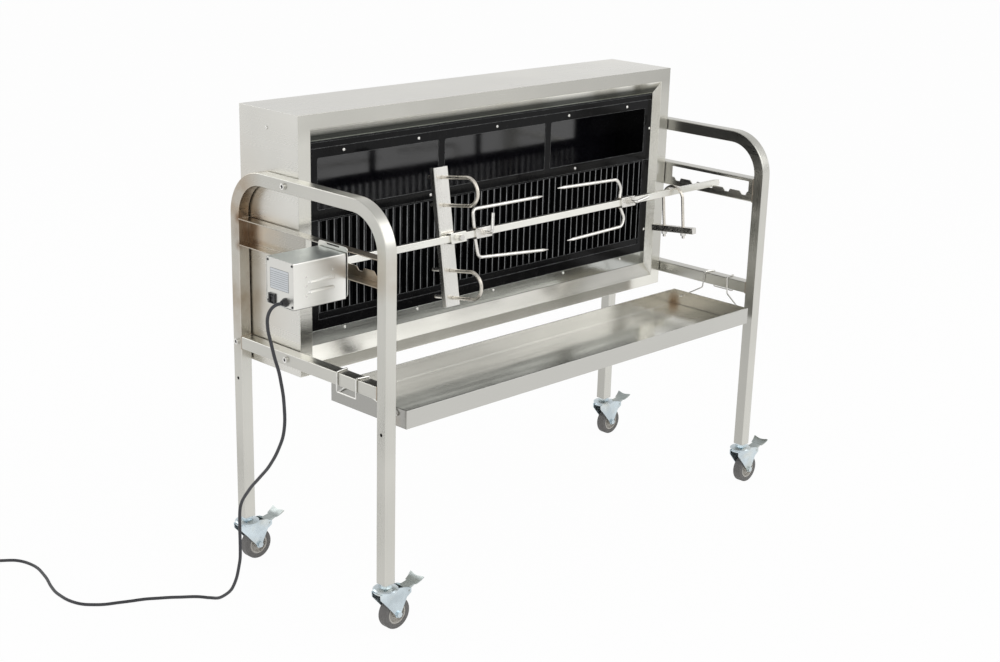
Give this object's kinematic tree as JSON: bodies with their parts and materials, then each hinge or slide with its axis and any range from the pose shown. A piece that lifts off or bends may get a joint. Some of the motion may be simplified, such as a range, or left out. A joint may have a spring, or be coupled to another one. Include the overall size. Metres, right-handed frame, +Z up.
{
  "type": "spit roaster",
  "caption": "Charcoal spit roaster on casters: hooped side frames, an upright fire cabinet, a motor-driven square spit with forks and clamps, and a hanging drip tray.",
  "frame": {"origin": "centre of the outline on the floor, measured without the cord", "axes": "+X along the spit away from the motor, +Y towards the fire cabinet, +Z up"},
  "size_m": [1.9572, 1.0821, 1.108],
  "materials": {
    "brushed_steel": "brushed square tube",
    "sheet_steel": "brushed sheet",
    "surround_steel": "bright brushed sheet",
    "tray_steel": "satin sheet",
    "motor_steel": "fine brushed sheet",
    "spit_steel": "drawn bar",
    "bright_steel": "bright steel",
    "black_enamel": "glossy enamel",
    "zinc": "blue-white zinc plate",
    "motor_paint": "satin paint",
    "gear_brass": "machined",
    "black_plastic": "moulded",
    "cord_rubber": "matt rubber",
    "grey_tyre": "grey rubber",
    "pale_hub": "moulded"
  },
  "bodies": {
    "frame": {"left_hoop": "brushed_steel", "right_hoop": "brushed_steel", "lower_rails": "brushed_steel", "left_rack": "sheet_steel", "right_rack": "sheet_steel", "leg_inserts": "zinc", "frame_bolts": "bright_steel", "cabinet_shell": "sheet_steel", "cabinet_surround": "surround_steel", "basket_front": "black_enamel", "basket_grate": "black_enamel", "basket_liner": "black_enamel", "basket_back": "black_enamel", "screw_strip": "surround_steel", "motor_cover": "motor_steel", "motor_end_plate": "motor_steel", "motor_bracket": "sheet_steel", "gear_plate": "zinc", "motor_can": "motor_paint", "rocker_frame": "black_plastic", "cord_gland": "black_plastic", "power_cord": "cord_rubber", "cord_coil": "cord_rubber", "plug": "cord_rubber", "caster_stems": "zinc"},
    "spit": {"spit_bar": "spit_steel"},
    "drive": {"output_gear": "zinc"},
    "pinion": {"motor_pinion": "gear_brass"},
    "switch": {"rocker": "black_plastic"},
    "brace": {"brace_channel": "sheet_steel", "brace_sleeve": "spit_steel", "brace_bows": "bright_steel", "brace_nuts": "bright_steel"},
    "brace_lock": {"brace_screw": "bright_steel"},
    "left_fork_body": {"left_fork": "spit_steel"},
    "left_fork_lock": {"left_fork_screw": "bright_steel"},
    "right_fork_body": {"right_fork": "spit_steel"},
    "right_fork_lock": {"right_fork_screw": "bright_steel"},
    "clamp": {"clamp_bow": "bright_steel"},
    "clamp_jaw": {"clamp_bar": "spit_steel", "clamp_nuts": "bright_steel"},
    "tray": {"drip_tray": "tray_steel", "left_hanger": "bright_steel", "right_hanger": "bright_steel"},
    "caster_fl": {"fork_fl": "zinc"},
    "wheel_fl": {"tyre_fl": "grey_tyre", "hub_fl": "pale_hub"},
    "brake_fl": {"pedal_fl": "zinc"},
    "caster_bl": {"fork_bl": "zinc"},
    "wheel_bl": {"tyre_bl": "grey_tyre", "hub_bl": "pale_hub"},
    "brake_bl": {"pedal_bl": "zinc"},
    "caster_fr": {"fork_fr": "zinc"},
    "wheel_fr": {"tyre_fr": "grey_tyre", "hub_fr": "pale_hub"},
    "brake_fr": {"pedal_fr": "zinc"},
    "caster_br": {"fork_br": "zinc"},
    "wheel_br": {"tyre_br": "grey_tyre", "hub_br": "pale_hub"},
    "brake_br": {"pedal_br": "zinc"}
  },
  "joints": [
    {"name": "spit_spin", "type": "hinge", "parent": "frame", "child": "spit", "pos_m": [0.033, -0.0966, 0.8188], "axis": [1, 0, 0], "continuous": true},
    {"name": "drive_spin", "type": "hinge", "parent": "frame", "child": "drive", "pos_m": [-0.667, -0.0966, 0.8188], "axis": [1, 0, 0], "continuous": true},
    {"name": "pinion_spin", "type": "hinge", "parent": "frame", "child": "pinion", "pos_m": [-0.667, -0.0966, 0.7863], "axis": [1, 0, 0], "continuous": true},
    {"name": "switch_rock", "type": "hinge", "parent": "frame", "child": "switch", "pos_m": [-0.7756, -0.0706, 0.7618], "axis": [0, 1, 0], "range_deg": [0, 16]},
    {"name": "brace_slide", "type": "slide", "parent": "spit", "child": "brace", "axis": [1, 0, 0], "range_m": [-0.25, 0.03]},
    {"name": "brace_screw_turn", "type": "hinge", "parent": "brace", "child": "brace_lock", "pos_m": [-0.275, -0.0966, 0.8188], "axis": [0, -0.988, 0.1547], "range_deg": [0, 360]},
    {"name": "left_fork_slide", "type": "slide", "parent": "spit", "child": "left_fork_body", "axis": [1, 0, 0], "range_m": [-0.025, 0.09]},
    {"name": "left_fork_screw_turn", "type": "hinge", "parent": "left_fork_body", "child": "left_fork_lock", "pos_m": [-0.1916, -0.0966, 0.8188], "axis": [0, -0.988, 0.1547], "range_deg": [0, 360]},
    {"name": "right_fork_slide", "type": "slide", "parent": "spit", "child": "right_fork_body", "axis": [1, 0, 0], "range_m": [-0.09, 0.12]},
    {"name": "right_fork_screw_turn", "type": "hinge", "parent": "right_fork_body", "child": "right_fork_lock", "pos_m": [0.323, -0.0966, 0.8188], "axis": [0, -0.988, 0.1547], "range_deg": [0, 360]},
    {"name": "clamp_slide", "type": "slide", "parent": "spit", "child": "clamp", "axis": [1, 0, 0], "range_m": [-0.12, 0.14]},
    {"name": "clamp_jaw_slide", "type": "slide", "parent": "clamp", "child": "clamp_jaw", "axis": [0, 0.1028, 0.9947], "range_m": [0, 0.05]},
    {"name": "tray_lift", "type": "slide", "parent": "frame", "child": "tray", "axis": [0, 0, 1], "range_m": [0, 0.06]},
    {"name": "swivel_fl", "type": "hinge", "parent": "frame", "child": "caster_fl", "pos_m": [-0.6195, -0.252, 0.06], "axis": [0, 0, 1], "continuous": true},
    {"name": "roll_fl", "type": "hinge", "parent": "caster_fl", "child": "wheel_fl", "pos_m": [-0.5945, -0.252, 0.0375], "axis": [0, 1, 0], "continuous": true},
    {"name": "brake_fl_press", "type": "hinge", "parent": "caster_fl", "child": "brake_fl", "pos_m": [-0.5635, -0.252, 0.086], "axis": [0, 1, 0], "range_deg": [0, 18]},
    {"name": "swivel_bl", "type": "hinge", "parent": "frame", "child": "caster_bl", "pos_m": [-0.6195, 0.252, 0.06], "axis": [0, 0, 1], "continuous": true},
    {"name": "roll_bl", "type": "hinge", "parent": "caster_bl", "child": "wheel_bl", "pos_m": [-0.5945, 0.252, 0.0375], "axis": [0, 1, 0], "continuous": true},
    {"name": "brake_bl_press", "type": "hinge", "parent": "caster_bl", "child": "brake_bl", "pos_m": [-0.5635, 0.252, 0.086], "axis": [0, 1, 0], "range_deg": [0, 18]},
    {"name": "swivel_fr", "type": "hinge", "parent": "frame", "child": "caster_fr", "pos_m": [0.6855, -0.252, 0.06], "axis": [0, 0, 1], "continuous": true},
    {"name": "roll_fr", "type": "hinge", "parent": "caster_fr", "child": "wheel_fr", "pos_m": [0.7105, -0.252, 0.0375], "axis": [0, 1, 0], "continuous": true},
    {"name": "brake_fr_press", "type": "hinge", "parent": "caster_fr", "child": "brake_fr", "pos_m": [0.7415, -0.252, 0.086], "axis": [0, 1, 0], "range_deg": [0, 18]},
    {"name": "swivel_br", "type": "hinge", "parent": "frame", "child": "caster_br", "pos_m": [0.6855, 0.252, 0.06], "axis": [0, 0, 1], "continuous": true},
    {"name": "roll_br", "type": "hinge", "parent": "caster_br", "child": "wheel_br", "pos_m": [0.7105, 0.252, 0.0375], "axis": [0, 1, 0], "continuous": true},
    {"name": "brake_br_press", "type": "hinge", "parent": "caster_br", "child": "brake_br", "pos_m": [0.7415, 0.252, 0.086], "axis": [0, 1, 0], "range_deg": [0, 18]}
  ],
  "couplings": [
    {"joint": "drive_spin", "follows": "spit_spin", "ratio": 1},
    {"joint": "pinion_spin", "follows": "spit_spin", "ratio": -3.3333}
  ]
}
